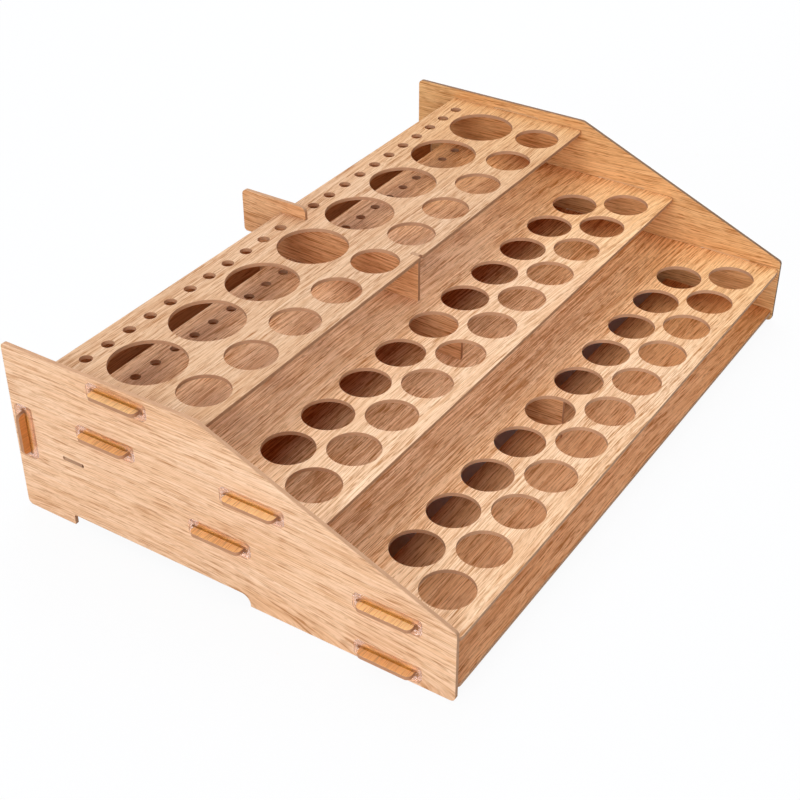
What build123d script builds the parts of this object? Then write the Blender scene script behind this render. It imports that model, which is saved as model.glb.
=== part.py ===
from build123d import *
import os

# A stepped rack for paint bottles, jars and brushes, cut from thin veneered board.
# Nine flat pieces interlock with no screws: two side panels, a centre divider,
# a back panel, three pierced shelves, a base board and a narrow brush rest.
# Every tenon comes out through a clear plastic clip that lines its mortise.
# Millimetres. X runs along the rack, Y from its front to its rear, Z up.
# The origin is on the floor, under the middle of the rack.

# Overall sizes and the board
LENGTH = 542.5            # over the outer faces of the side panels
BOARD = 3.0               # thickness of every board
FIT = 0.2                 # clearance on each side of a tenon or a lap
END_GAP = 0.25            # between a board's end and the side panel

# Levels and tiers
BASE_TOP = 11.1           # upper face of the base board
TIER_RISE = 40.5          # from one board's upper face to the next
TIER_GOING = 103.0        # how far the middle shelf steps back behind the lower one
TOP_GOING = 93.2          # how far the top shelf steps back behind the middle one

# Paint bottle holes. Each row starts at an end distance from the side panels.
BOTTLE_D = 38.0
BOTTLE_COUNT = 11
BOTTLE_END = 35.45
ROW_INSET = 29.6          # first row, from the shelf's front edge
ROW_GAP = 38.0            # from the first row to the staggered row behind it
TOP_BOTTLE_COUNT = 10
TOP_BOTTLE_END = 37.13
TOP_BOTTLE_INSET = 25.9

# Jar and brush holes
JAR_D = 56.15
JAR_COUNT = 8
JAR_END = 42.68
JAR_INSET = 79.5
BRUSH_D = 9.6
BRUSH_PER_SIDE = 11       # on each side of the divider
BRUSH_END = 22.73
BRUSH_FROM_REAR = 15.1    # brush row, from the top shelf's rear edge
GUIDE_D = 8.0             # holes in the middle shelf that steady the brushes

# Level boards, front to rear
BASE_SETBACK = 0.6        # front edge, behind the front of the side panels
BASE_DEPTH = 100.9
LOWER_SETBACK = 0.3
LOWER_DEPTH = 235.2
TOP_DEPTH = 132.9
MIDDLE_BEHIND = 2.0       # middle shelf's rear edge, behind the top shelf's
REAR_GAP = 39.0           # from the top shelf to the rear of the side panels
BOARD_CORNER_R = 5.0

# Tenons, each placed by its middle, from the front or rear edge of its board
TENON = 41.4
TENON_OUT = 7.5           # how far a tenon stands out of the side panel
TENON_CORNER_R = 4.0
BASE_TENON = 49.9
LOWER_FRONT_TENON = 50.4
LOWER_REAR_TENON = 51.15
MIDDLE_FRONT_TENON = 51.3
MIDDLE_REAR_TENON = 51.75
TOP_REAR_TENON = 65.35

# Clear clips that line the mortises of the side panels
CLIP_WALL = 0.8
CLIP_FLANGE = 1.5         # thickness of its flange, on the panel's outer face
CLIP_GAP = 0.05           # under the flange
CLIP_OVER = 5.05          # how far the flange passes the ends of a tenon
CLIP_W = 13.0             # width of the flange
BACK_CLIP_W = 15.4        # the flange round the back panel's tenon is wider
CLIP_CORNER_R = 3.2
EYE_OVER = 2.0            # how far the clip's eye passes the ends of a tenon

# Side panel outline
PANEL_OVER_TOP = 8.9      # rear edge's height above the top shelf
PANEL_OVER_LOWER = 7.2    # front edge's height above the lower shelf
PANEL_BEND_R = 9.0
PANEL_CORNER_R = 4.0
FOOT_H = 9.0
FRONT_FOOT = 161.9
REAR_FOOT = 46.4
FOOT_FRONT_R = 7.5        # inner corner behind the front foot
FOOT_REAR_R = 2.0         # inner corner ahead of the rear foot

# Back panel
BACK_FROM_REAR = 10.5     # its rear face, ahead of the rear of the side panels
BACK_H = 70.0
BACK_TOP_GAP = 24.1       # its top edge, below the top shelf's underside
BACK_TENON = 34.0

# Brush rest
REST_RISE = 9.9           # its upper face, above the lower shelf
REST_W = 16.4

# Centre divider
EAR_RISE = 10.5           # top of its ear, above the top shelf
EAR_NOSE = 24.0           # ear's nose, from the top shelf's rear edge
EAR_NOSE_R = 5.0
EAR_REAR_R = 4.5
EAR_HEEL_R = 3.0
EAR_SETBACK = 0.1         # ear's rear edge, ahead of the rear of the side panels
FACE_SETBACK = 2.4        # front edge under the top shelf, behind that shelf's edge
MIDDLE_FACE = 55.7        # front edge under the middle shelf, likewise
LOWER_FACE = 67.7         # front edge under the lower shelf, likewise
FACE_TAB = 9.5            # reach of the notch that takes the divider's tab
LAP = 25.0                # length of a shelf's lap slot, from its rear edge


HALF = LENGTH / 2
INNER = HALF - BOARD
END = INNER - END_GAP
TIP = HALF + TENON_OUT

LOWER_TOP = BASE_TOP + TIER_RISE
MIDDLE_TOP = LOWER_TOP + TIER_RISE
TOP_TOP = MIDDLE_TOP + TIER_RISE
PANEL_TOP = TOP_TOP + PANEL_OVER_TOP
PANEL_FRONT_TOP = LOWER_TOP + PANEL_OVER_LOWER
EAR_TOP = TOP_TOP + EAR_RISE
REST_TOP = LOWER_TOP + REST_RISE

# Distances from the front of the rack
BASE_REAR = BASE_SETBACK + BASE_DEPTH
LOWER_REAR = LOWER_SETBACK + LOWER_DEPTH
MIDDLE_FRONT = LOWER_SETBACK + TIER_GOING
TOP_FRONT = MIDDLE_FRONT + TOP_GOING
TOP_REAR = TOP_FRONT + TOP_DEPTH
MIDDLE_REAR = TOP_REAR + MIDDLE_BEHIND
DEPTH = TOP_REAR + REAR_GAP
BASE_TENONS = [BASE_SETBACK + BASE_TENON]
LOWER_TENONS = [LOWER_SETBACK + LOWER_FRONT_TENON, LOWER_REAR - LOWER_REAR_TENON]
MIDDLE_TENONS = [MIDDLE_FRONT + MIDDLE_FRONT_TENON, MIDDLE_REAR - MIDDLE_REAR_TENON]
TOP_TENONS = [TOP_REAR - TOP_REAR_TENON]
BRUSH_ROW = TOP_REAR - BRUSH_FROM_REAR
BACK_REAR = DEPTH - BACK_FROM_REAR
BACK_FACE = BACK_REAR - BOARD
BACK_TOP = TOP_TOP - BOARD - BACK_TOP_GAP
BACK_MIDDLE_Y = BACK_REAR - BOARD / 2
BACK_MIDDLE_Z = BACK_TOP - BACK_H / 2

SLOT = BOARD + 2 * FIT    # width of a slot that takes a board's thickness
SLEEVE = SLOT + 2 * CLIP_WALL
BOTTLE_PITCH = 2 * (INNER - BOTTLE_END) / (BOTTLE_COUNT - 1)
TOP_BOTTLE_PITCH = 2 * (INNER - TOP_BOTTLE_END) / (TOP_BOTTLE_COUNT - 1)
JAR_PITCH = 2 * (INNER - JAR_END) / (JAR_COUNT - 1)
BRUSH_PITCH = (INNER - BRUSH_END) / BRUSH_PER_SIDE


def level(height):
    """Sketch plane of a level board: x along the rack, y back from its front."""
    return Plane(origin=(0, -DEPTH / 2, height), x_dir=(1, 0, 0), z_dir=(0, 0, 1))


def upright(x):
    """Sketch plane of a panel that stands front to rear: x back, y up."""
    return Plane(origin=(x, -DEPTH / 2, 0), x_dir=(0, 1, 0), z_dir=(1, 0, 0))


def corner(outline, x, y):
    """The corner of a sketch that lies nearest to a point."""
    return outline.vertices().sort_by_distance((x, y, 0))[0]


def block(x0, x1, y0, y1, mode=Mode.ADD):
    """Rectangle between two pairs of edges."""
    with Locations(((x0 + x1) / 2, (y0 + y1) / 2)):
        Rectangle(x1 - x0, y1 - y0, mode=mode)


def board_outline(outline, front, rear, tenons):
    """Level board with rounded front corners and a tenon at each end."""
    block(-END, END, front, rear)
    for side in (-1, 1):
        fillet(corner(outline, side * END, front), BOARD_CORNER_R)
    for middle in tenons:
        block(-TIP, TIP, middle - TENON / 2, middle + TENON / 2)
    tips = outline.vertices().group_by(Axis.X)
    fillet(tips[0] + tips[-1], TENON_CORNER_R)


def hole_row(diameter, pitch, count, distance):
    """Row of holes centred on the rack, at a distance from its front."""
    with Locations((0, distance)):
        with GridLocations(pitch, pitch, count, 1):
            Circle(diameter / 2, mode=Mode.SUBTRACT)


def brush_row(diameter):
    """Brush holes on both sides of the divider, which takes the middle place."""
    first = BRUSH_PITCH * (BRUSH_PER_SIDE + 1) / 2
    with Locations((-first, BRUSH_ROW), (first, BRUSH_ROW)):
        with GridLocations(BRUSH_PITCH, BRUSH_PITCH, BRUSH_PER_SIDE, 1):
            Circle(diameter / 2, mode=Mode.SUBTRACT)


def finish(piece, name):
    """Labels a finished piece and writes it."""
    piece.part.label = name
    export_step(piece.part, f"parts/{name}.step")


# Clips of one side panel: middle of each tenon, its length, its turn and the
# width of the flange
CLIPS = {"back": (BACK_MIDDLE_Y, BACK_MIDDLE_Z, BACK_TENON, 90, BACK_CLIP_W)}
for place, middle, top in (
    ("base", BASE_TENONS[0], BASE_TOP),
    ("lower_front", LOWER_TENONS[0], LOWER_TOP),
    ("lower_rear", LOWER_TENONS[1], LOWER_TOP),
    ("middle_front", MIDDLE_TENONS[0], MIDDLE_TOP),
    ("middle_rear", MIDDLE_TENONS[1], MIDDLE_TOP),
    ("top", TOP_TENONS[0], TOP_TOP),
):
    CLIPS[place] = (middle, top - BOARD / 2, TENON, 0, CLIP_W)


def clip(side, place):
    """Clear clip: a flange outside, and a sleeve through the side panel."""
    distance, height, length, turn, width = CLIPS[place]
    seat = Location((distance, height), turn)
    with BuildPart() as piece:
        with BuildSketch(upright(side * (HALF + CLIP_GAP))):
            with Locations(seat):
                RectangleRounded(length + 2 * CLIP_OVER, width, CLIP_CORNER_R)
        extrude(amount=side * CLIP_FLANGE)
        with BuildSketch(upright(side * INNER)):
            with Locations(seat):
                SlotOverall(length + 2 * EYE_OVER + 2 * CLIP_WALL, SLEEVE)
        extrude(amount=side * (BOARD + CLIP_GAP))
        with BuildSketch(upright(side * INNER)):
            with Locations(seat):
                SlotOverall(length + 2 * EYE_OVER, SLOT)
        extrude(amount=side * (BOARD + CLIP_GAP + CLIP_FLANGE), mode=Mode.SUBTRACT)
    finish(piece, f"{'left' if side < 0 else 'right'}_{place}_clip")


def side_panel(side, name):
    """Stepped-down side of the rack, with a mortise for every clip."""
    outer = upright(side * HALF)
    with BuildPart() as panel:
        with BuildSketch(outer) as outline:
            with BuildLine():
                Polyline(
                    (0, 0), (0, PANEL_FRONT_TOP), (TOP_FRONT, PANEL_TOP),
                    (DEPTH, PANEL_TOP), (DEPTH, 0), (DEPTH - REAR_FOOT, 0),
                    (DEPTH - REAR_FOOT, FOOT_H), (FRONT_FOOT, FOOT_H), (FRONT_FOOT, 0),
                    close=True,
                )
            make_face()
            for x, y in ((0, 0), (0, PANEL_FRONT_TOP), (DEPTH, PANEL_TOP), (DEPTH, 0)):
                fillet(corner(outline, x, y), PANEL_CORNER_R)
            fillet(corner(outline, TOP_FRONT, PANEL_TOP), PANEL_BEND_R)
            fillet(corner(outline, FRONT_FOOT, FOOT_H), FOOT_FRONT_R)
            fillet(corner(outline, DEPTH - REAR_FOOT, FOOT_H), FOOT_REAR_R)
        extrude(amount=-side * BOARD)
        with BuildSketch(outer):
            for distance, height, length, turn, _ in CLIPS.values():
                with Locations(Location((distance, height), turn)):
                    SlotOverall(
                        length + 2 * (EYE_OVER + CLIP_WALL + FIT), SLEEVE + 2 * FIT
                    )
            with Locations((BRUSH_ROW, REST_TOP - BOARD / 2)):
                SlotOverall(REST_W + 2 * FIT + BOARD, SLOT)
        extrude(amount=-side * BOARD, mode=Mode.SUBTRACT)
    finish(panel, name)


def centre_divider():
    """Divider that laps through the shelves and hooks over the back panel."""
    nose = TOP_REAR - EAR_NOSE
    ear_rear = DEPTH - EAR_SETBACK
    lower_face = LOWER_SETBACK + LOWER_FACE
    middle_face = MIDDLE_FRONT + MIDDLE_FACE
    top_face = TOP_FRONT + FACE_SETBACK
    tab_rear = TOP_FRONT + FACE_TAB
    with BuildPart() as divider:
        with BuildSketch(upright(-BOARD / 2)) as outline:
            with BuildLine():
                Polyline(
                    (lower_face, BASE_TOP), (lower_face, LOWER_TOP), (middle_face, LOWER_TOP),
                    (middle_face, MIDDLE_TOP), (top_face, MIDDLE_TOP), (top_face, TOP_TOP),
                    (tab_rear, TOP_TOP), (tab_rear, TOP_TOP - BOARD), (nose, TOP_TOP - BOARD),
                    (nose, EAR_TOP), (ear_rear, EAR_TOP), (ear_rear, BACK_TOP),
                    (BACK_FACE, BACK_TOP), (BACK_FACE, BASE_TOP - BOARD),
                    (BASE_REAR + FIT, BASE_TOP - BOARD), (BASE_REAR + FIT, BASE_TOP),
                    close=True,
                )
            make_face()
            fillet(corner(outline, nose, EAR_TOP), EAR_NOSE_R)
            fillet(corner(outline, ear_rear, EAR_TOP), EAR_REAR_R)
            fillet(corner(outline, ear_rear, BACK_TOP), EAR_HEEL_R)
            for top, rear in ((LOWER_TOP, LOWER_REAR), (MIDDLE_TOP, MIDDLE_REAR)):
                block(0, rear - LAP, top - BOARD - FIT, top + FIT, Mode.SUBTRACT)
            with Locations((BRUSH_ROW, REST_TOP - BOARD / 2)):
                Rectangle(REST_W + 2 * FIT, SLOT, mode=Mode.SUBTRACT)
        extrude(amount=BOARD)
    finish(divider, "centre_divider")


def back_panel():
    """Upright panel at the rear that squares the rack."""
    rear_face = Plane(
        origin=(0, BACK_REAR - DEPTH / 2, 0), x_dir=(1, 0, 0), z_dir=(0, -1, 0)
    )
    with BuildPart() as back:
        with BuildSketch(rear_face) as outline:
            block(-END, END, BACK_TOP - BACK_H, BACK_TOP)
            with Locations((0, BACK_MIDDLE_Z)):
                Rectangle(2 * TIP, BACK_TENON)
            tips = outline.vertices().group_by(Axis.X)
            fillet(tips[0] + tips[-1], TENON_CORNER_R)
        extrude(amount=BOARD)
    finish(back, "back_panel")


def brush_rest_rail():
    """Narrow rail under the brush holes, on which the brushes stand."""
    with BuildPart() as rail:
        with BuildSketch(level(REST_TOP - BOARD)):
            block(-HALF, HALF, BRUSH_ROW - REST_W / 2, BRUSH_ROW + REST_W / 2)
        extrude(amount=BOARD)
    finish(rail, "brush_rest_rail")


def base_board():
    """Floor of the lowest tier, under its bottles."""
    with BuildPart() as base:
        with BuildSketch(level(BASE_TOP - BOARD)) as outline:
            board_outline(outline, BASE_SETBACK, BASE_REAR, BASE_TENONS)
        extrude(amount=BOARD)
    finish(base, "base_board")


def lower_shelf():
    """First pierced shelf, which is also the floor of the tier behind it."""
    row = LOWER_SETBACK + ROW_INSET
    with BuildPart() as shelf:
        with BuildSketch(level(LOWER_TOP - BOARD)) as outline:
            board_outline(outline, LOWER_SETBACK, LOWER_REAR, LOWER_TENONS)
            hole_row(BOTTLE_D, BOTTLE_PITCH, BOTTLE_COUNT, row)
            hole_row(BOTTLE_D, BOTTLE_PITCH, BOTTLE_COUNT - 1, row + ROW_GAP)
            block(-SLOT / 2, SLOT / 2, LOWER_REAR - LAP - FIT, LOWER_REAR, Mode.SUBTRACT)
        extrude(amount=BOARD)
    finish(shelf, "lower_shelf")


def middle_shelf():
    """Second pierced shelf, with guide holes below the brush row."""
    row = MIDDLE_FRONT + ROW_INSET
    with BuildPart() as shelf:
        with BuildSketch(level(MIDDLE_TOP - BOARD)) as outline:
            board_outline(outline, MIDDLE_FRONT, MIDDLE_REAR, MIDDLE_TENONS)
            hole_row(BOTTLE_D, BOTTLE_PITCH, BOTTLE_COUNT, row)
            hole_row(BOTTLE_D, BOTTLE_PITCH, BOTTLE_COUNT - 1, row + ROW_GAP)
            brush_row(GUIDE_D)
            block(-SLOT / 2, SLOT / 2, MIDDLE_REAR - LAP - FIT, MIDDLE_REAR, Mode.SUBTRACT)
        extrude(amount=BOARD)
    finish(shelf, "middle_shelf")


def top_shelf():
    """Third pierced shelf: bottles in front, jars behind them, brushes at the rear."""
    with BuildPart() as shelf:
        with BuildSketch(level(TOP_TOP - BOARD)) as outline:
            board_outline(outline, TOP_FRONT, TOP_REAR, TOP_TENONS)
            hole_row(BOTTLE_D, TOP_BOTTLE_PITCH, TOP_BOTTLE_COUNT, TOP_FRONT + TOP_BOTTLE_INSET)
            hole_row(JAR_D, JAR_PITCH, JAR_COUNT, TOP_FRONT + JAR_INSET)
            brush_row(BRUSH_D)
            block(-SLOT / 2, SLOT / 2, TOP_REAR - EAR_NOSE - FIT, TOP_REAR, Mode.SUBTRACT)
            block(-SLOT / 2, SLOT / 2, TOP_FRONT, TOP_FRONT + FACE_TAB + FIT, Mode.SUBTRACT)
        extrude(amount=BOARD)
    finish(shelf, "top_shelf")


os.makedirs("parts", exist_ok=True)
side_panel(-1, "left_side_panel")
side_panel(1, "right_side_panel")
centre_divider()
back_panel()
brush_rest_rail()
base_board()
lower_shelf()
middle_shelf()
top_shelf()
for place in CLIPS:
    clip(-1, place)
    clip(1, place)
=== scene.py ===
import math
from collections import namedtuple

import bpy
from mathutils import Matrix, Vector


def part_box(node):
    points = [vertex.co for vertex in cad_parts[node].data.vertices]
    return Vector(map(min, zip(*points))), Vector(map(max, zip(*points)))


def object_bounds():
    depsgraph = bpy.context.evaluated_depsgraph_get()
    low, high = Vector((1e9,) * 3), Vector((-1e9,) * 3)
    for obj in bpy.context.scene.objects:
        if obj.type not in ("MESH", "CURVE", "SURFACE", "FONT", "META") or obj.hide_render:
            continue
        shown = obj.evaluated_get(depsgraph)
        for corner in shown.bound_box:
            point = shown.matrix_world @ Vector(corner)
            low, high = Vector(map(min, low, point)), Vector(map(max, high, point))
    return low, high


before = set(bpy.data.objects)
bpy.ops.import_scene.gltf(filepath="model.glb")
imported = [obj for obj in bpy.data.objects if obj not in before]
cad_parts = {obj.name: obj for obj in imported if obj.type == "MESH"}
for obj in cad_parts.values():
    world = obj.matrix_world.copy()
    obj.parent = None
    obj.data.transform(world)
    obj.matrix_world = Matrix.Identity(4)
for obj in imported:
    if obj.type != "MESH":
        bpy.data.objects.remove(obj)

# %% [markdown]
# # A stepped rack of veneered board
# The rack is nine flat boards that slot together, and fourteen clear clips that
# line the mortises. Their shapes are right as they come in model.glb, so this
# script makes no new solids: it gives every board its own oak veneer, with
# fibreboard at the cut edges, makes the clips clear, and then lights and frames
# the rack. Everything is in metres, with the rack's front towards -Y.

cad_low, cad_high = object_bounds()
print("solids from", tuple(cad_low), "to", tuple(cad_high))

# %% [markdown]
# ## How the boards were cut from the sheets
# Veneer has a grain direction, and the maker turns each board so that the grain
# runs along its length: front to rear on the sides and the divider, left to
# right on everything else. We write down that direction, the direction across
# the face, and a place on an imaginary endless sheet. All nine boards could
# share one place, but then the eye would find the same lines again and again.
# The heart is where the slice ran flat to the growth rings: near it the grain
# closes into arches, and far from it the grain is straight. The other columns
# give every board the shade of wood that it has in the photograph.

# %% Grain direction, place on the sheet and shade of every board
X, Y, Z = (1, 0, 0), (0, 1, 0), (0, 0, 1)
Board = namedtuple("Board", [
    "grain", "across",    # directions along the grain, and across it in the face
    "place",              # on the sheet, mm
    "heart",              # mm across the board, and mm below it
    "tone",               # from honey at 0 to pale at 1
    "lines",              # strength of the dark lines
    "tint",               # colour of the finish
    "cuts",               # brightness of the cut edges
    "plain_side",         # side darkened with painted shade, or 0 for none
])
BOARDS = {
    "left_side_panel": Board(
        Y, Z, (150, 310, 40), (-74, -15), 0.58, 0.86, (0.95, 1.00, 1.07), 1.00, 0),
    "right_side_panel": Board(
        Y, Z, (2150, -640, 95), (-160, 30), 0.50, 1.00, (1.05, 1.02, 0.80), 0.45, 0),
    "centre_divider": Board(
        Y, Z, (4380, 220, 150), (140, 30), 0.52, 1.25, (1.02, 0.94, 0.82), 0.90, 0),
    "back_panel": Board(
        X, Z, (6100, 900, 210), (-120, 25), 0.50, 1.00, (1.00, 0.97, 0.90), 0.90, 1),
    "top_shelf": Board(
        X, Y, (8350, -180, 260), (190, 22), 0.72, 1.00, (0.92, 0.94, 0.95), 0.90, -1),
    "middle_shelf": Board(
        X, Y, (10700, 470, 330), (-170, 26), 0.78, 1.40, (1.06, 1.03, 0.99), 1.00, -1),
    "lower_shelf": Board(
        X, Y, (12900, -930, 380), (-190, 26), 0.78, 1.65, (1.08, 1.04, 0.98), 1.00, -1),
    "base_board": Board(
        X, Y, (15400, 130, 450), (-120, 18), 0.46, 1.20, (1.06, 0.97, 0.86), 1.00, -1),
    "brush_rest_rail": Board(
        X, Y, (17600, 720, 520), (60, 30), 0.48, 1.00, (1.00, 0.97, 0.92), 0.62, -1),
}
CLIPS = [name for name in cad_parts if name.endswith("_clip")]
print(len(BOARDS), "boards and", len(CLIPS), "clips, of", len(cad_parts), "nodes")

# %% [markdown]
# ## Small helpers for node trees
# A shader is a graph. It could be drawn by hand in the shader editor, but then
# nobody could read it here. These helpers keep the written recipe short: they
# make a node and fill its sockets from names or numbers, and start a node group
# with named inputs and outputs, which several materials can then share.


# %% Nodes and arithmetic
def add_node(tree, kind, inputs=None, **settings):
    """Adds a node, sets its properties, then fills or links its inputs."""
    node = tree.nodes.new(kind)
    for name, value in settings.items():
        setattr(node, name, value)
    for key, value in (inputs or {}).items():
        if isinstance(value, bpy.types.NodeSocket):
            tree.links.new(value, node.inputs[key])
        else:
            node.inputs[key].default_value = value
    return node


def math_node(tree, operation, first, second=0.0, third=0.0):
    """One step of arithmetic, as the socket that holds its result."""
    node = add_node(tree, "ShaderNodeMath", {0: first, 1: second, 2: third},
                    operation=operation)
    return node.outputs[0]


def multiply(tree, first, second):
    """Product of two values."""
    return math_node(tree, "MULTIPLY", first, second)


def remap(tree, value, low, high, to_low=0.0, to_high=1.0):
    """Stretches a range of values to another one, and clamps it there."""
    node = add_node(tree, "ShaderNodeMapRange",
                    {"Value": value, "From Min": low, "From Max": high,
                     "To Min": to_low, "To Max": to_high})
    return node.outputs["Result"]


print("helpers for arithmetic are ready")


# %% Colours, textures and groups
def mix_colours(tree, factor, first, second, blend="MIX"):
    """Blends two colours by a factor, which the node keeps between 0 and 1."""
    node = add_node(tree, "ShaderNodeMix", data_type="RGBA", blend_type=blend)
    for socket, value in zip((node.inputs[0], node.inputs[6], node.inputs[7]),
                             (factor, first, second)):
        if isinstance(value, bpy.types.NodeSocket):
            tree.links.new(value, socket)
        else:
            socket.default_value = value
    return node.outputs[2]


def stretch(tree, vector, along, across, through):
    """Scales a vector by its own factor along, across and through the board."""
    node = add_node(tree, "ShaderNodeVectorMath",
                    {0: vector, 1: (along, across, through)}, operation="MULTIPLY")
    return node.outputs[0]


def noise(tree, vector, scale=1.0, detail=2.0, roughness=0.5):
    """Noise value between 0 and 1."""
    node = add_node(tree, "ShaderNodeTexNoise",
                    {"Vector": vector, "Scale": scale, "Detail": detail,
                     "Roughness": roughness})
    return node.outputs[0]


def new_group(name, inputs, outputs):
    """Starts a node group and returns it with its input and output nodes."""
    group = bpy.data.node_groups.new(name, "ShaderNodeTree")
    for label, kind, default in inputs:
        socket = group.interface.new_socket(label, in_out="INPUT", socket_type=kind)
        if default is not None:
            socket.default_value = default
    for label, kind in outputs:
        group.interface.new_socket(label, in_out="OUTPUT", socket_type=kind)
    return group, group.nodes.new("NodeGroupInput"), group.nodes.new("NodeGroupOutput")


print("helpers for colours, textures and groups are ready")

# %% [markdown]
# ## The oak veneer
# Sliced oak shows fine dark lines, a few millimetres apart, that run on along the
# grain. Each line is one growth ring cut by the slice. One noise, stretched along
# the board, would give straight lines only, so we work out the rings. A log is a
# cone of rings, and the ring at any point depends on its distance from the heart,
# across the board and down through it, and that depth changes slowly along the
# log. Far from the heart this makes straight lines, and near it long arches. The
# group reads a vector in millimetres with the grain along its first axis.

# %% The ring that a point lies on
LOG_TAPER = 0.120         # how fast the heart sinks below the slice
SWAY = 10.0               # mm, how far the rings wander slowly
RIPPLE = 0.8              # mm, how far they wander in a short distance

veneer, group_in, group_out = new_group(
    "oak_veneer",
    [("Vector", "NodeSocketVector", None), ("Place", "NodeSocketVector", None),
     ("Heart", "NodeSocketFloat", 0.0), ("Depth", "NodeSocketFloat", 20.0),
     ("Tone", "NodeSocketFloat", 0.5), ("Lines", "NodeSocketFloat", 1.0),
     ("Tint", "NodeSocketColor", (1, 1, 1, 1))],
    [("Color", "NodeSocketColor"), ("Height", "NodeSocketFloat"),
     ("Roughness", "NodeSocketFloat")],
)
sheet_mm = add_node(veneer, "ShaderNodeVectorMath",
                    {0: group_in.outputs["Vector"], 1: group_in.outputs["Place"]},
                    operation="ADD").outputs[0]
board_axes = add_node(veneer, "ShaderNodeSeparateXYZ", {0: group_in.outputs["Vector"]})
along, across = board_axes.outputs[0], board_axes.outputs[1]
sheet_axes = add_node(veneer, "ShaderNodeSeparateXYZ", {0: sheet_mm})

sway = noise(veneer, stretch(veneer, sheet_mm, 0.0045, 0.012, 0.0))
ripple = noise(veneer, stretch(veneer, sheet_mm, 0.014, 0.035, 0.0))
swayed = math_node(veneer, "MULTIPLY_ADD", sway, SWAY, across)
swayed = math_node(veneer, "MULTIPLY_ADD", ripple, RIPPLE, swayed)
from_heart = math_node(veneer, "SUBTRACT", swayed, group_in.outputs["Heart"])
from_heart = math_node(veneer, "SUBTRACT", from_heart, (SWAY + RIPPLE) / 2)
depth = math_node(veneer, "MULTIPLY_ADD", along, LOG_TAPER, group_in.outputs["Depth"])
radius = math_node(veneer, "SQRT", math_node(
    veneer, "ADD", multiply(veneer, from_heart, from_heart), multiply(veneer, depth, depth)))
ring_place = add_node(veneer, "ShaderNodeCombineXYZ",
                      {0: sheet_axes.outputs[0], 1: radius, 2: sheet_axes.outputs[2]}).outputs[0]
print("rings take", len(veneer.nodes), "nodes")

# %% [markdown]
# ## What the slice shows
# Every mark in the wood follows the rings, but each at its own size: soft bands a
# finger wide, veins and hair lines, rows of short pores, and loose specks. So
# each gets a noise of its own, read at the ring's place instead of the board's,
# much longer along the rings than across them. Where such a noise crosses its
# middle value it draws a thin line, which runs on like a real one. Other noises
# break the lines up, so that none is as even as if it were ruled.


# %% Noises along the rings
def ring_noise(along_rings, across_rings, layer, detail=2.0, roughness=0.5):
    """Noise drawn out along the rings, with its own scale along and across them."""
    place = stretch(veneer, ring_place, along_rings, across_rings, layer)
    return noise(veneer, place, detail=detail, roughness=roughness)


def ridges(value, core, skirt):
    """Thin lines along the places where a noise crosses its middle value."""
    offset = math_node(veneer, "ABSOLUTE", math_node(veneer, "SUBTRACT", value, 0.5))
    return remap(veneer, offset, core, skirt, 1.0, 0.0)


band_noise = ring_noise(0.0030, 0.080, 0.0)
vein_noise = ring_noise(0.0055, 0.390, 0.0, detail=1.0, roughness=0.35)
hair_noise = ring_noise(0.0120, 0.680, 5.0, detail=1.0, roughness=0.40)
line_noise = ring_noise(0.0140, 0.680, 0.0, roughness=0.60)
fine_noise = ring_noise(0.0400, 1.100, 0.0, roughness=0.60)
row_noise = ring_noise(0.0120, 0.580, 3.0, detail=1.0, roughness=0.30)
pore_noise = ring_noise(0.0850, 0.750, 3.0, detail=1.0)
speck_noise = ring_noise(0.1300, 1.350, 9.0, detail=1.0)
fade_noise = ring_noise(0.0300, 0.120, 7.0)
cloud_noise = noise(veneer, stretch(veneer, sheet_mm, 0.007, 0.016, 0.0))
print("with the noises", len(veneer.nodes), "nodes")

# %% Veins, hair lines, pores and specks
comb = remap(veneer, fine_noise, 0.56, 0.44, 0.30, 1.0)      # splits the broad lines
veins = multiply(veneer, ridges(vein_noise, 0.012, 0.070),
                 remap(veneer, fade_noise, 0.34, 0.58, 0.35, 1.0))
veins = multiply(veneer, veins, comb)
hairs = multiply(veneer, ridges(hair_noise, 0.010, 0.085),
                 remap(veneer, fade_noise, 0.64, 0.40, 0.15, 1.0))
pores = multiply(veneer, ridges(row_noise, 0.018, 0.090),
                 remap(veneer, pore_noise, 0.40, 0.58, 0.15, 1.0))
pores = multiply(veneer, pores, comb)
specks = multiply(veneer, remap(veneer, speck_noise, 0.53, 0.63),
                  remap(veneer, line_noise, 0.42, 0.58, 0.25, 1.0))
print("with the marks", len(veneer.nodes), "nodes")

# %% Colour, relief and sheen of the veneer
VENEER_PALE = (0.950, 0.610, 0.360, 1)
VENEER_HONEY = (0.840, 0.450, 0.212, 1)
VENEER_DARK = (0.580, 0.235, 0.075, 1)
PORE_BROWN = (0.440, 0.165, 0.045, 1)
PORE_DEPTH, FIBRE_RISE = -0.8, 0.5        # shares of the face's relief
PORE_ROUGH = 0.20         # how much rougher a pore is than the face
FACE_ROUGH = (0.52, 0.66)                 # from one fibre to the next

tone = group_in.outputs["Tone"]
for shades, low, high, reach in ((band_noise, 0.30, 0.70, 0.18), (line_noise, 0.30, 0.70, 0.26),
                                 (cloud_noise, 0.32, 0.68, 0.14)):
    tone = math_node(veneer, "ADD", tone, remap(veneer, shades, low, high, -reach, reach))
wood = mix_colours(veneer, tone, VENEER_HONEY, VENEER_PALE)
for marks, strength, colour in ((veins, 0.62, VENEER_DARK), (hairs, 0.50, VENEER_DARK),
                                (pores, 1.00, PORE_BROWN), (specks, 0.50, PORE_BROWN)):
    amount = multiply(veneer, multiply(veneer, marks, group_in.outputs["Lines"]), strength)
    wood = mix_colours(veneer, amount, wood, colour)
wood = mix_colours(veneer, 1.0, wood, group_in.outputs["Tint"], blend="MULTIPLY")
relief = math_node(veneer, "MULTIPLY_ADD", pores, PORE_DEPTH,
                   multiply(veneer, fine_noise, FIBRE_RISE))
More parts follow.
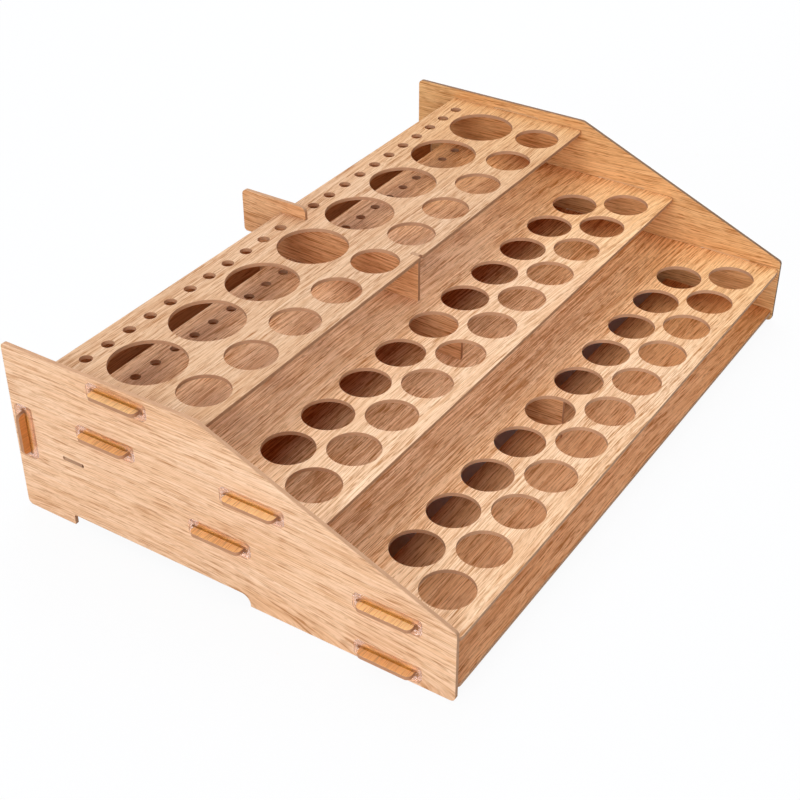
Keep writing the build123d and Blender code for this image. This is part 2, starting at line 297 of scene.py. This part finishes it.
sheen = math_node(veneer, "MULTIPLY_ADD", pores, PORE_ROUGH,
                  remap(veneer, fine_noise, 0.3, 0.7, *FACE_ROUGH))
veneer.links.new(wood, group_out.inputs["Color"])
veneer.links.new(relief, group_out.inputs["Height"])
veneer.links.new(sheen, group_out.inputs["Roughness"])
print("oak veneer group:", len(veneer.nodes), "nodes")

# %% [markdown]
# ## The cut edge
# The boards are fibreboard under a thin veneer. A cut edge shows the brown core,
# packed from fine fibres, between two paler lines of veneer. Three glued layers
# could be modelled, but the outer ones are thinner than a pixel here, so the
# material draws them. The group needs the distance from the board's middle
# plane, so the material centres its vector there, and half the thickness.

# %% Fibreboard edge as a node group
CORE_BROWN = (0.590, 0.300, 0.155, 1)
CORE_PALE = (0.740, 0.430, 0.240, 1)
CORE_SCORCH = (0.360, 0.160, 0.075, 1)
SCORCH_SHARE = 0.35       # how far a patch of the core turns to that colour
EDGE_LIPPING = (0.710, 0.420, 0.235, 1)
LIPPING_REACH = (0.25, 0.45)              # mm in from the face, where the veneer ends
LIPPING_SHARE = 0.75      # how far the core turns to the veneer's colour there
EDGE_ROUGH = (0.72, 0.88)                 # from the fibres to the gaps between them

edge, group_in, group_out = new_group(
    "fibreboard_edge",
    [("Vector", "NodeSocketVector", None), ("Half thickness", "NodeSocketFloat", 1.5)],
    [("Color", "NodeSocketColor"), ("Height", "NodeSocketFloat"),
     ("Roughness", "NodeSocketFloat")],
)
edge_mm = group_in.outputs["Vector"]
packed = noise(edge, stretch(edge, edge_mm, 0.9, 0.9, 5.0), detail=5.0, roughness=0.7)
blotch = noise(edge, stretch(edge, edge_mm, 0.07, 0.07, 0.25))
core = mix_colours(edge, remap(edge, packed, 0.3, 0.7), CORE_BROWN, CORE_PALE)
core = mix_colours(edge, remap(edge, blotch, 0.45, 0.75, 0.0, SCORCH_SHARE), core, CORE_SCORCH)
through = add_node(edge, "ShaderNodeSeparateXYZ", {0: edge_mm}).outputs[2]
from_face = math_node(edge, "SUBTRACT", group_in.outputs["Half thickness"],
                      math_node(edge, "ABSOLUTE", through))
lipping = remap(edge, from_face, *LIPPING_REACH, LIPPING_SHARE, 0.0)
core = mix_colours(edge, lipping, core, EDGE_LIPPING)
edge.links.new(core, group_out.inputs["Color"])
edge.links.new(packed, group_out.inputs["Height"])
edge.links.new(remap(edge, packed, 0.2, 0.8, *EDGE_ROUGH), group_out.inputs["Roughness"])
print("fibreboard edge group:", len(edge.nodes), "nodes")

# %% [markdown]
# ## Worn corners
# Where a face meets a cut edge the corner is never perfectly sharp, and handling
# rubs the finish thin. The corners could be cut round in the mesh, but the mesh
# stays as model.glb gives it. A Bevel node gives the normal that a rounded corner
# would have. Comparing it with the true normal finds the corners, and feeding it
# to the shader makes them catch the light.

# %% Corner wear as a node group
BOARD_WEAR = 0.00035      # m, radius of a board's rubbed corners
FLAT, ROUND = 0.98, 0.80  # how alike the two normals are, off and on a corner

wear, group_in, group_out = new_group(
    "corner_wear",
    [("Vector", "NodeSocketVector", None), ("Radius", "NodeSocketFloat", BOARD_WEAR)],
    [("Mask", "NodeSocketFloat"), ("Normal", "NodeSocketVector")],
)
rounded = add_node(wear, "ShaderNodeBevel", {"Radius": group_in.outputs["Radius"]}, samples=6)
true_normal = add_node(wear, "ShaderNodeNewGeometry").outputs["True Normal"]
likeness = add_node(wear, "ShaderNodeVectorMath", {0: rounded.outputs[0], 1: true_normal},
                    operation="DOT_PRODUCT").outputs["Value"]
corner_mask = remap(wear, likeness, FLAT, ROUND)
patchy = remap(wear, noise(wear, group_in.outputs["Vector"], scale=0.12, detail=3.0),
               0.35, 0.65, 0.35, 1.0)
wear.links.new(multiply(wear, corner_mask, patchy), group_out.inputs["Mask"])
wear.links.new(rounded.outputs[0], group_out.inputs["Normal"])
print("corner wear group:", len(wear.nodes), "nodes")

# %% [markdown]
# ## Painted light and shade on the boards
# The same sheet doesn't look the same all over the rack, and some of that is
# light and shade painted into the colour. The tenon tips sit in clear clips,
# which throw honey-coloured light on them, and that light is painted. Towards the
# right end, painted amber light stands for the light that the right side panel
# throws back, and the fronts of the two lower shelves get painted light. The
# undersides, and one side of the back panel, are darkened with painted shade, so
# little light is thrown back into the tier below. Each could be a material of
# its own, but no real board changes along a sharp line, so one material fades
# from one colour to the next by the place on the board.

# %% Colours of a board's faces and of its cut edges
MM = 0.001                # m
PANEL_GAP = 0.05          # mm off the side panels, where the tips and the flanges begin
# painted light: the honey-coloured light that the clips throw on the tenon tips
TIP_HONEY = (1.140, 0.880, 0.460, 1)
TIP_CUT = (0.680, 0.590, 0.540, 1)        # the tips' cut ends are browner
TIP_SHARE = 0.90          # how far a tip turns to the honey colour
TIP_FLAT = 0.30           # how much of the honey colour hides the grain
TIP_BLEND = 0.6           # mm over which the tip begins
# painted light: the warm light that the right side panel throws back on the boards towards the
# right end
PAINTED_BOUNCE = (1.020, 0.920, 0.690, 1)
PAINTED_BOUNCE_REACH = (70.0, 262.0)               # mm right of the middle, from none to all of it
PAINTED_SIDE_SHADE = (0.690, 0.480, 0.325, 1)    # painted shade on the undersides and on one side of the back panel
FACE_NORMAL = (0.65, 0.75)                # how far a normal points out of the face
# painted light on the fronts of the two lower shelves, where the lines also show weaker
PAINTED_LIGHT_SHELVES = ("middle_shelf", "lower_shelf")
PAINTED_FRONT_LIGHT = (1.040, 1.140, 1.240, 1)
PAINTED_LIGHT_LINES = 0.62                       # strength of the lines under the painted light
PAINTED_LIGHT_REACH = (-69.0, -29.0)             # mm from a shelf's middle, from all of it to none

panel_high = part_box("right_side_panel")[1]
tips_from = panel_high.x / MM + PANEL_GAP


def board_colours(tree, name, board, board_mm, out_of_face, skin, core):
    """Colours of the faces and of the cut edges, from the two groups' own colours, with painted
    light and shade added.
    """
    faces = skin.outputs["Color"]
    cuts = mix_colours(tree, 1.0, core.outputs["Color"], (board.cuts,) * 3 + (1,),
                       blend="MULTIPLY")
    axes = add_node(tree, "ShaderNodeSeparateXYZ", {0: board_mm})
    if board.grain == X:
        # painted light from the clips on the tenon tips
        tip = remap(tree, math_node(tree, "ABSOLUTE", axes.outputs[0]),
                    tips_from, tips_from + TIP_BLEND, 0.0, TIP_SHARE)
        tips = mix_colours(tree, 1.0, faces, TIP_HONEY, blend="MULTIPLY")
        tips = mix_colours(tree, TIP_FLAT, tips, TIP_HONEY)
        faces = mix_colours(tree, tip, faces, tips)
        cuts = mix_colours(tree, tip, cuts, TIP_CUT, blend="MULTIPLY")
        # painted amber light towards the right end
        painted_bounce = remap(tree, axes.outputs[0], *PAINTED_BOUNCE_REACH)
        faces = mix_colours(tree, painted_bounce, faces, PAINTED_BOUNCE, blend="MULTIPLY")
    # painted shade on one side of the board
    if board.plain_side:
        shaded = remap(tree, multiply(tree, out_of_face, board.plain_side), *FACE_NORMAL)
        faces = mix_colours(tree, shaded, faces, PAINTED_SIDE_SHADE, blend="MULTIPLY")
    # painted light on the shelf's front
    if name in PAINTED_LIGHT_SHELVES:
        painted_light = remap(tree, axes.outputs[1], *PAINTED_LIGHT_REACH, 1.0, 0.0)
        faces = mix_colours(tree, painted_light, faces, PAINTED_FRONT_LIGHT, blend="MULTIPLY")
        lines = remap(tree, painted_light, 0.0, 1.0, board.lines, board.lines * PAINTED_LIGHT_LINES)
        tree.links.new(lines, skin.inputs["Lines"])
    return faces, cuts


print("tips begin", round(tips_from, 3), "mm from the middle")
print("paled towards the front:", *PAINTED_LIGHT_SHELVES)

# %% [markdown]
# ## One material for each board
# A board needs veneer on two sides and fibreboard on the rest. The faces could
# be picked by hand, but the material can ask the normal instead, which works for
# holes and slots too. It turns the board's own coordinates so that the grain
# lies along X and the middle of its thickness is at zero, in millimetres, and
# then adds the worn corners. Every board has its own place on the sheet.

# %% Board material
CORNER_RUB = (0.790, 0.510, 0.300, 1)
RUB_SHARE = 0.45          # how far a corner turns to that colour
BOARD_SHINE = 0.12        # specular level of the matt finish
FACE_BUMP = 0.00002       # m, depth of the pores
EDGE_BUMP = 0.00010       # m, depth of the fibres


def board_material(name, board):
    """Veneered board, with its own cut of veneer and fibreboard where it is cut."""
    low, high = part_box(name)
    thin = Vector(board.grain).cross(Vector(board.across))
    turn = Matrix((board.grain, board.across, thin))
    middle = turn @ (low + high) / 2 / MM
    thickness = min(high - low) / MM

    material = bpy.data.materials.new(name + "_finish")
    material.use_nodes = True
    tree = material.node_tree
    shader = tree.nodes["Principled BSDF"]
    coords = add_node(tree, "ShaderNodeTexCoord")
    board_mm = add_node(tree, "ShaderNodeMapping", {
        "Vector": coords.outputs["Object"], "Location": -middle,
        "Rotation": turn.to_euler(), "Scale": (1 / MM, 1 / MM, 1 / MM)}).outputs[0]
    out_of_face = add_node(tree, "ShaderNodeVectorMath", {0: coords.outputs["Normal"], 1: thin},
                           operation="DOT_PRODUCT").outputs["Value"]
    on_face = remap(tree, math_node(tree, "ABSOLUTE", out_of_face), *FACE_NORMAL)

    skin = add_node(tree, "ShaderNodeGroup", {
        "Vector": board_mm, "Place": board.place, "Heart": board.heart[0],
        "Depth": board.heart[1], "Tone": board.tone, "Lines": board.lines,
        "Tint": (*board.tint, 1)}, node_tree=veneer)
    core = add_node(tree, "ShaderNodeGroup", {
        "Vector": board_mm, "Half thickness": thickness / 2}, node_tree=edge)
    corners = add_node(tree, "ShaderNodeGroup", {"Vector": board_mm}, node_tree=wear)

    faces, cuts = board_colours(tree, name, board, board_mm, out_of_face, skin, core)
    colour = mix_colours(tree, on_face, cuts, faces)
    rub = multiply(tree, corners.outputs["Mask"], RUB_SHARE)
    tree.links.new(mix_colours(tree, rub, colour, CORNER_RUB), shader.inputs["Base Color"])
    rough = add_node(tree, "ShaderNodeMix", {
        0: on_face, 2: core.outputs["Roughness"], 3: skin.outputs["Roughness"]},
        data_type="FLOAT")
    tree.links.new(rough.outputs[0], shader.inputs["Roughness"])
    shader.inputs["Specular IOR Level"].default_value = BOARD_SHINE

    face_bump = add_node(tree, "ShaderNodeBump", {
        "Height": skin.outputs["Height"], "Strength": on_face,
        "Distance": FACE_BUMP, "Normal": corners.outputs["Normal"]})
    edge_bump = add_node(tree, "ShaderNodeBump", {
        "Height": core.outputs["Height"],
        "Strength": math_node(tree, "SUBTRACT", 1.0, on_face),
        "Distance": EDGE_BUMP, "Normal": face_bump.outputs[0]})
    tree.links.new(edge_bump.outputs[0], shader.inputs["Normal"])
    return material


print("grain along X:", [name for name, board in BOARDS.items() if board.grain == X])

# %% Dress every board
for name, board in BOARDS.items():
    finish = board_material(name, board)
    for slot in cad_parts[name].material_slots:
        slot.material = finish
    print(name, "wears", finish.name)

# %% [markdown]
# ## The clear clips
# Every tenon is held by a clip of clear plastic, whose flange lies on the side
# panel. It is moulded a little pink, and wood shows through it. Beside the slot
# it looks honey-coloured, because there it gathers light off the tenon. Traced
# light could find that glow by itself, but only with far more samples than we
# can spend, so the material paints it.

# %% Colour of the plastic
CLIP_PINK = (0.980, 0.920, 0.925, 1)
CLIP_HONEY = (0.980, 0.880, 0.580, 1)
HONEY_REACH = 4.6         # mm from the middle of the slot, where the honey colour ends
HONEY_BLEND = 1.2         # mm over which it fades there
CLIP_END = 8.0            # mm of each end that stays pink
CLIP_END_BLEND = 2.0      # mm over which the pink begins
FLOW_SHARE = 0.4          # how far the flow lines take the pink away


def clip_colour(tree, clip_mm, half_size, flow):
    """Pink, with honey along the slot, which runs along Y or along Z."""
    lies_flat = half_size.y > half_size.z
    axes = add_node(tree, "ShaderNodeSeparateXYZ", {0: clip_mm})
    from_slot = math_node(tree, "ABSOLUTE", axes.outputs[2 if lies_flat else 1])
    from_middle = math_node(tree, "ABSOLUTE", axes.outputs[1 if lies_flat else 2])
    pink_from = max(half_size.y, half_size.z) / MM - CLIP_END
    honey = multiply(
        tree, remap(tree, from_slot, HONEY_REACH - HONEY_BLEND, HONEY_REACH, 1.0, 0.0),
        remap(tree, from_middle, pink_from, pink_from + CLIP_END_BLEND, 1.0, 0.0))
    tint = mix_colours(tree, remap(tree, flow, 0.3, 0.7, 0.0, FLOW_SHARE),
                       CLIP_PINK, (1, 1, 1, 1))
    return mix_colours(tree, honey, tint, CLIP_HONEY)


print("honey colour within", HONEY_REACH, "mm of a slot")

# %% [markdown]
# ## How light passes the plastic
# Glass alone would be the plain way to make a clip. But a path tracer needs very
# many samples to find a lamp through a refracting surface, and would leave the
# wood under the flange dark. So shadow rays go straight through, and so does
# part of what the camera sees. The sleeve inside the mortise only shows the
# brown of the cut wood round it, so there the plastic is plain and opaque.

# %% Plastic that lets the light through
SLEEVE_BROWN = (0.860, 0.540, 0.270, 1)
CLIP_SHADOW = (0.620, 0.580, 0.520, 1)    # of the light that has passed a clip
SEE_STRAIGHT = 0.55       # how much of the flange is looked through without bending
MORTISE_BLEND = 0.3       # mm over which the sleeve turns into the flange


def lit_plastic(tree, plastic, tint, place):
    """Clear flange that light passes, and a plain brown sleeve inside the mortise."""
    along_rack = add_node(tree, "ShaderNodeSeparateXYZ", {0: place}).outputs[0]
    in_mortise = remap(tree, math_node(tree, "ABSOLUTE", along_rack),
                       (tips_from - MORTISE_BLEND) * MM, tips_from * MM, 1.0, 0.0)
    is_shadow = add_node(tree, "ShaderNodeLightPath").outputs["Is Shadow Ray"]
    straight = add_node(tree, "ShaderNodeBsdfTransparent", {
        "Color": mix_colours(tree, is_shadow, tint, CLIP_SHADOW)})
    sleeve = add_node(tree, "ShaderNodeBsdfDiffuse", {"Color": SLEEVE_BROWN})
    flange = add_node(tree, "ShaderNodeMixShader", {
        0: SEE_STRAIGHT, 1: plastic.outputs[0], 2: straight.outputs[0]})
    seen = add_node(tree, "ShaderNodeMixShader", {
        0: in_mortise, 1: flange.outputs[0], 2: sleeve.outputs[0]})
    whole = add_node(tree, "ShaderNodeMixShader", {
        0: is_shadow, 1: seen.outputs[0], 2: straight.outputs[0]})
    return whole.outputs[0]


print("share of a flange that is looked straight through:", SEE_STRAIGHT)

# %% [markdown]
# ## One material for each clip
# The honey colour is measured from the middle of a clip's own slot, and the
# clips sit in fourteen places. One material could look all of them up, but a
# material for each clip only has to centre its own coordinates. Faint flow
# lines from the mould and a little rubbing keep it from looking like perfect
# glass.

# %% Clip material
CLIP_IOR = 1.30
CLIP_WEAR = 0.00040       # m, radius of a clip's rubbed corners
CLIP_ROUGH = (0.05, 0.20)
WORN_ROUGH = 0.20         # how much rougher its corners are
FLOW_BUMP = 0.00008       # m, depth of the flow lines
FLOW_STRENGTH = 0.25


def clip_material(name):
    """Slightly rubbed clear plastic, centred on one clip."""
    low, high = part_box(name)
    finish = bpy.data.materials.new("clear_plastic_" + name)
    finish.use_nodes = True
    tree = finish.node_tree
    coords = add_node(tree, "ShaderNodeTexCoord")
    clip_mm = add_node(tree, "ShaderNodeMapping", {
        "Vector": coords.outputs["Object"], "Location": (low + high) / -2 / MM,
        "Scale": (1 / MM, 1 / MM, 1 / MM)}).outputs[0]
    flow = noise(tree, stretch(tree, clip_mm, 0.6, 0.10, 0.10))
    rubbed = noise(tree, clip_mm, scale=0.35, detail=4.0, roughness=0.7)
    corners = add_node(tree, "ShaderNodeGroup", {"Vector": clip_mm, "Radius": CLIP_WEAR},
                       node_tree=wear)
    tint = clip_colour(tree, clip_mm, (high - low) / 2, flow)

    plastic = tree.nodes["Principled BSDF"]
    plastic.inputs["Transmission Weight"].default_value = 1.0
    plastic.inputs["IOR"].default_value = CLIP_IOR
    tree.links.new(tint, plastic.inputs["Base Color"])
    rough = math_node(tree, "MULTIPLY_ADD", corners.outputs["Mask"], WORN_ROUGH,
                      remap(tree, rubbed, 0.35, 0.75, *CLIP_ROUGH))
    tree.links.new(rough, plastic.inputs["Roughness"])
    flow_bump = add_node(tree, "ShaderNodeBump", {
        "Height": flow, "Strength": FLOW_STRENGTH, "Distance": FLOW_BUMP,
        "Normal": corners.outputs["Normal"]})
    tree.links.new(flow_bump.outputs[0], plastic.inputs["Normal"])
    tree.links.new(lit_plastic(tree, plastic, tint, coords.outputs["Object"]),
                   tree.nodes["Material Output"].inputs["Surface"])
    return finish


for name in CLIPS:
    finish = clip_material(name)
    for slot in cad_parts[name].material_slots:
        slot.material = finish
print(len(CLIPS), "clips are clear")

# %% [markdown]
# ## The floor
# The rack stands on a plain white sweep. To a lamp it is ordinary matt white, so
# it takes the rack's shadow and throws light back up. A brighter lamp could turn
# it as white as in a product photograph, but would burn out the wood as well. So
# the camera sees it lifted to white instead. Only the ground under the rack,
# which shows through the holes, keeps its real darkness. From below the sweep is
# clear, so that the undersides of the boards can be looked at.

# %% Sheet that the rack stands on
FLOOR_SIZE = 30.0         # m
FLOOR_GAP = 0.0002        # m, so that no face of the rack lies in the floor

bpy.ops.mesh.primitive_grid_add(size=FLOOR_SIZE, x_subdivisions=2, y_subdivisions=2,
                                location=(0, 0, 0))
floor = bpy.context.object
floor.name = "floor"
floor.data.transform(Matrix.Translation((0, 0, cad_low.z - FLOOR_GAP)))
print("floor at", cad_low.z - FLOOR_GAP)

# %% White paint, with true ground under the rack
FLOOR_WHITE = (0.86, 0.86, 0.86, 1)
FLOOR_ROUGH = 0.9
FLOOR_LIFT = 0.94         # how far the camera's view of the floor is lifted to white
UNDER_LOW = (0.045, 0.012)      # m inside the rack's left end and its front
UNDER_HIGH = (0.003, 0.004)     # m inside its right end and its rear
UNDER_BLEND = 0.006             # m over which the true ground begins there

floor_paint = bpy.data.materials.new("white_sweep")
floor_paint.use_nodes = True
tree = floor_paint.node_tree
matt = tree.nodes["Principled BSDF"]
matt.inputs["Base Color"].default_value = FLOOR_WHITE
matt.inputs["Roughness"].default_value = FLOOR_ROUGH
glow = add_node(tree, "ShaderNodeEmission", {"Color": (1, 1, 1, 1), "Strength": 1.0})
path = add_node(tree, "ShaderNodeLightPath")
seen = math_node(tree, "MAXIMUM", path.outputs["Is Camera Ray"], path.outputs["Is Glossy Ray"])
seen = math_node(tree, "MAXIMUM", seen, path.outputs["Is Transmission Ray"])
floor_place = add_node(tree, "ShaderNodeSeparateXYZ", {
    0: add_node(tree, "ShaderNodeTexCoord").outputs["Object"]})
outside = 0.0
for axis in (0, 1):
    inside_low = math_node(tree, "SUBTRACT", floor_place.outputs[axis],
                           cad_low[axis] + UNDER_LOW[axis])
    inside_high = math_node(tree, "SUBTRACT", cad_high[axis] - UNDER_HIGH[axis],
                            floor_place.outputs[axis])
    inside = math_node(tree, "MINIMUM", inside_low, inside_high)
    outside = math_node(tree, "MAXIMUM", outside, remap(tree, inside, 0.0, UNDER_BLEND, 1.0, 0.0))
lift = multiply(tree, multiply(tree, seen, outside), FLOOR_LIFT)
from_above = add_node(tree, "ShaderNodeMixShader",
                      {0: lift, 1: matt.outputs[0], 2: glow.outputs[0]})
from_below = add_node(tree, "ShaderNodeBsdfTransparent")
is_below = add_node(tree, "ShaderNodeNewGeometry").outputs["Backfacing"]
whole = add_node(tree, "ShaderNodeMixShader",
                 {0: is_below, 1: from_above.outputs[0], 2: from_below.outputs[0]})
tree.links.new(whole.outputs[0], tree.nodes["Material Output"].inputs["Surface"])
floor.data.materials.append(floor_paint)
print("floor wears", floor_paint.name)

# %% [markdown]
# ## Light
# The photograph has a large soft light low on the left, the side nearest the
# camera, one straight overhead, and one behind on the right. So every shelf
# shades the rear of the one below it, and the left side panel is bright. An
# even white world would be simpler, but would wash those shadows out, so ours is
# very weak and only keeps them from going black. The lamps are a little cool,
# because the lit wood is paler than its colour in the shade.

# %% Three soft lamps
LAMPS = (
    # name, direction from the rack, distance in m, size in m, power in W
    ("key_left", (-1.0, -0.15, 0.30), 2.4, 1.6, 42),
    ("overhead", (0.0, 0.0, 1.0), 2.2, 2.4, 40),
    ("rear_right", (0.8, 0.5, 0.8), 2.4, 2.2, 35),
)
LAMP_COOL = (0.94, 1.00, 1.12)

scene = bpy.context.scene
rack_middle = (cad_low + cad_high) / 2
for name, direction, distance, size, power in LAMPS:
    lamp_data = bpy.data.lights.new(name, "AREA")
    lamp_data.shape = "SQUARE"
    lamp_data.size = size
    lamp_data.energy = power
    lamp_data.color = LAMP_COOL
    lamp = bpy.data.objects.new(name, lamp_data)
    scene.collection.objects.link(lamp)
    away = Vector(direction).normalized()
    lamp.location = rack_middle + away * distance
    lamp.rotation_euler = (-away).to_track_quat("-Z", "Y").to_euler()

# %% World, white to the camera alone
SKY_WARM = (1.0, 0.99, 0.98, 1)
SKY_LEVEL = 0.02          # what the world throws on the rack

scene.view_settings.view_transform = "Standard"
world = bpy.data.worlds.new("studio")
scene.world = world
world.use_nodes = True
sky = world.node_tree.nodes["Background"]
sky.inputs["Color"].default_value = SKY_WARM
sky_path = add_node(world.node_tree, "ShaderNodeLightPath")
sky_level = remap(world.node_tree, sky_path.outputs["Is Camera Ray"], 0.0, 1.0, SKY_LEVEL, 1.0)
world.node_tree.links.new(sky_level, sky.inputs["Strength"])
print("world strength", SKY_LEVEL, "and 1 to the camera")

# %% [markdown]
# ## Camera
# The photograph looks down on the rack from its front left, along its length.
# Its uprights were straightened after it was taken. A shifted lens could do the
# same, but then views from other sides would be shifted too, so ours keeps a
# little of the natural convergence.

# %% Camera at the photograph's viewing angle
CAMERA_AT = Vector((-0.83525, -0.5072, 0.690))     # m
CAMERA_HEADING = math.radians(32.86)      # from +X towards +Y
CAMERA_DOWN = math.radians(35.13)
CAMERA_LENS = 66.2        # mm
SENSOR_WIDTH = 36.0       # mm
SEEN_FROM, SEEN_TO = 0.05, 100.0          # m in front of the lens

camera_data = bpy.data.cameras.new("camera")
camera_data.lens = CAMERA_LENS
camera_data.sensor_width = SENSOR_WIDTH
camera_data.clip_start = SEEN_FROM
camera_data.clip_end = SEEN_TO
camera = bpy.data.objects.new("camera", camera_data)
scene.collection.objects.link(camera)
looking = Vector((math.cos(CAMERA_HEADING) * math.cos(CAMERA_DOWN),
                  math.sin(CAMERA_HEADING) * math.cos(CAMERA_DOWN),
                  -math.sin(CAMERA_DOWN)))
camera.location = CAMERA_AT
camera.rotation_euler = looking.to_track_quat("-Z", "Y").to_euler()
scene.camera = camera
print("camera looks", tuple(round(c, 3) for c in looking))
